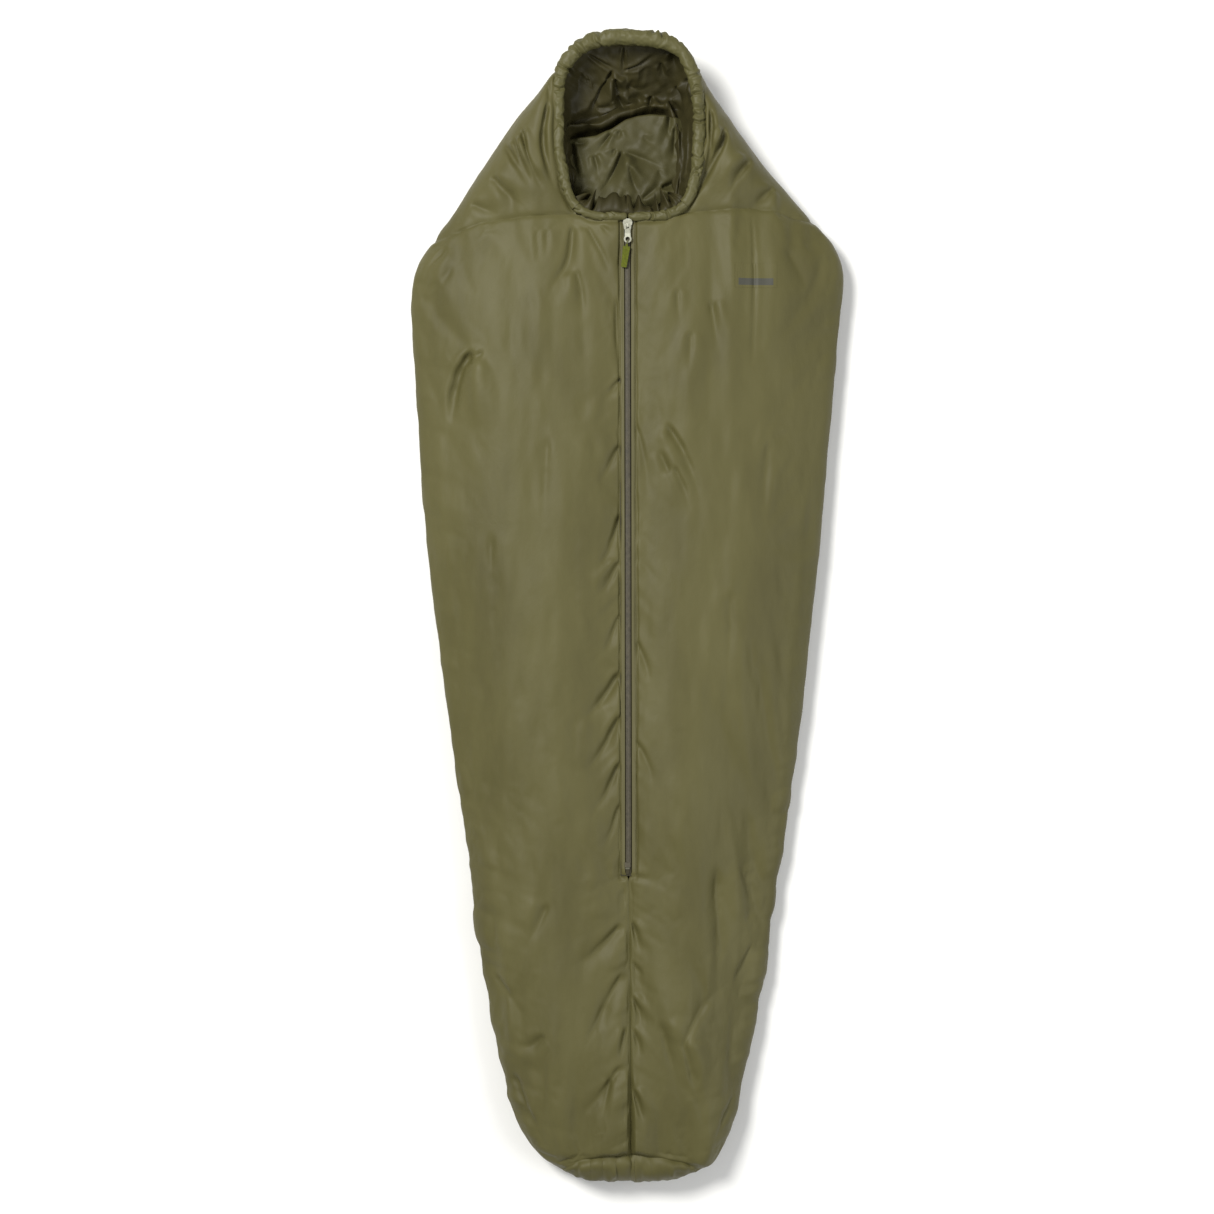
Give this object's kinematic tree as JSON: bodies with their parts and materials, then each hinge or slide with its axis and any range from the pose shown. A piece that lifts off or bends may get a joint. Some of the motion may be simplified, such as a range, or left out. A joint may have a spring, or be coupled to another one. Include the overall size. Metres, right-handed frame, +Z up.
{
  "type": "bivy sack",
  "caption": "Insulated mummy-shaped bivy bag lying flat, with a hooded face opening, a gathered rim, a centre-front zip with a pull, and a sewn foot end.",
  "frame": {"origin": "middle of the bag's underside, centre of its bounding box in plan, on the surface that it lies on", "axes": "+Z up, away from the surface; +Y along the bag to the hood; +X across the bag, to the right as seen from above with the hood up the page"},
  "size_m": [0.832, 2.2, 0.1399],
  "materials": {
    "shell_fabric": "olive downproof polyester taffeta, slight sheen",
    "lining_fabric": "soft olive-brown taffeta lining",
    "insulation": "white hollow-fibre batting",
    "elastic": "covered elastic cord",
    "zip_tape": "woven polyester tape",
    "zip_coil": "moulded nylon coil",
    "zip_metal": "satin plated zinc casting",
    "loop_cord": "braided cord",
    "grip": "matt moulded grip, lime olive",
    "patch": "plain grey heat-bonded patch"
  },
  "bodies": {
    "root": {"back_fill": "insulation", "back_lining": "lining_fabric", "back_shell": "shell_fabric", "chest_patch": "patch", "face_rim_upper": "shell_fabric", "foot_fill": "insulation", "foot_lining": "lining_fabric", "foot_shell": "shell_fabric", "front_left_fill": "insulation", "front_left_lining": "lining_fabric", "front_left_shell": "shell_fabric", "front_right_fill": "insulation", "front_right_lining": "lining_fabric", "front_right_shell": "shell_fabric", "hood_left_fill": "insulation", "hood_left_lining": "lining_fabric", "hood_left_shell": "shell_fabric", "hood_right_fill": "insulation", "hood_right_lining": "lining_fabric", "hood_right_shell": "shell_fabric", "rim_elastic": "elastic", "zip_bottom_stop": "zip_metal", "zip_coil_end": "zip_coil", "zip_end_tab": "zip_tape", "zip_tape_end_left": "zip_tape", "zip_tape_end_right": "zip_tape"},
    "zip_panel_left": {"zip_panel_left_fill": "insulation", "zip_panel_left_lining": "lining_fabric", "zip_panel_left_shell": "shell_fabric", "face_rim_left": "shell_fabric", "zip_tape_left": "zip_tape", "zip_coil_left": "zip_coil", "zip_top_stop_left": "zip_metal"},
    "zip_panel_right": {"zip_panel_right_fill": "insulation", "zip_panel_right_lining": "lining_fabric", "zip_panel_right_shell": "shell_fabric", "face_rim_right": "shell_fabric", "zip_tape_right": "zip_tape", "zip_coil_right": "zip_coil", "zip_top_stop_right": "zip_metal"},
    "slider": {"slider_body": "zip_metal", "slider_bridge": "zip_metal"},
    "pull_tab": {"pull_tab": "zip_metal"},
    "puller_loop": {"puller_loop": "loop_cord"},
    "puller_grip": {"puller_grip": "grip"}
  },
  "joints": [
    {"name": "zip_slide", "type": "slide", "parent": "root", "child": "slider", "axis": [0, -0.9999, -0.0161], "range_m": [0, 1.208]},
    {"name": "zip_panel_left_fold", "type": "hinge", "parent": "root", "child": "zip_panel_left", "pos_m": [-0.026, -0.44994, 0.11076], "axis": [0.0643, -0.9978, -0.0161], "range_deg": [0, 165]},
    {"name": "zip_panel_right_fold", "type": "hinge", "parent": "root", "child": "zip_panel_right", "pos_m": [0.026, -0.44994, 0.11076], "axis": [0.0643, 0.9978, 0.0161], "range_deg": [0, 165]},
    {"name": "pull_lift", "type": "hinge", "parent": "slider", "child": "pull_tab", "pos_m": [0, 0.72218, 0.13723], "axis": [-1, 0, 0], "range_deg": [0, 150]},
    {"name": "loop_swing", "type": "hinge", "parent": "pull_tab", "child": "puller_loop", "pos_m": [0, 0.69669, 0.13682], "axis": [0, -0.0161, 0.9999], "range_deg": [-17, 33]},
    {"name": "grip_fold", "type": "hinge", "parent": "puller_loop", "child": "puller_grip", "pos_m": [-0.00145, 0.68639, 0.13665], "axis": [-0.9903, 0.1392, 0.0022], "range_deg": [0, 90]}
  ],
  "couplings": [
    {"joint": "zip_panel_left_fold", "follows": "zip_slide", "rad_per_m": 2.3839},
    {"joint": "zip_panel_right_fold", "follows": "zip_slide", "rad_per_m": 2.3839}
  ]
}
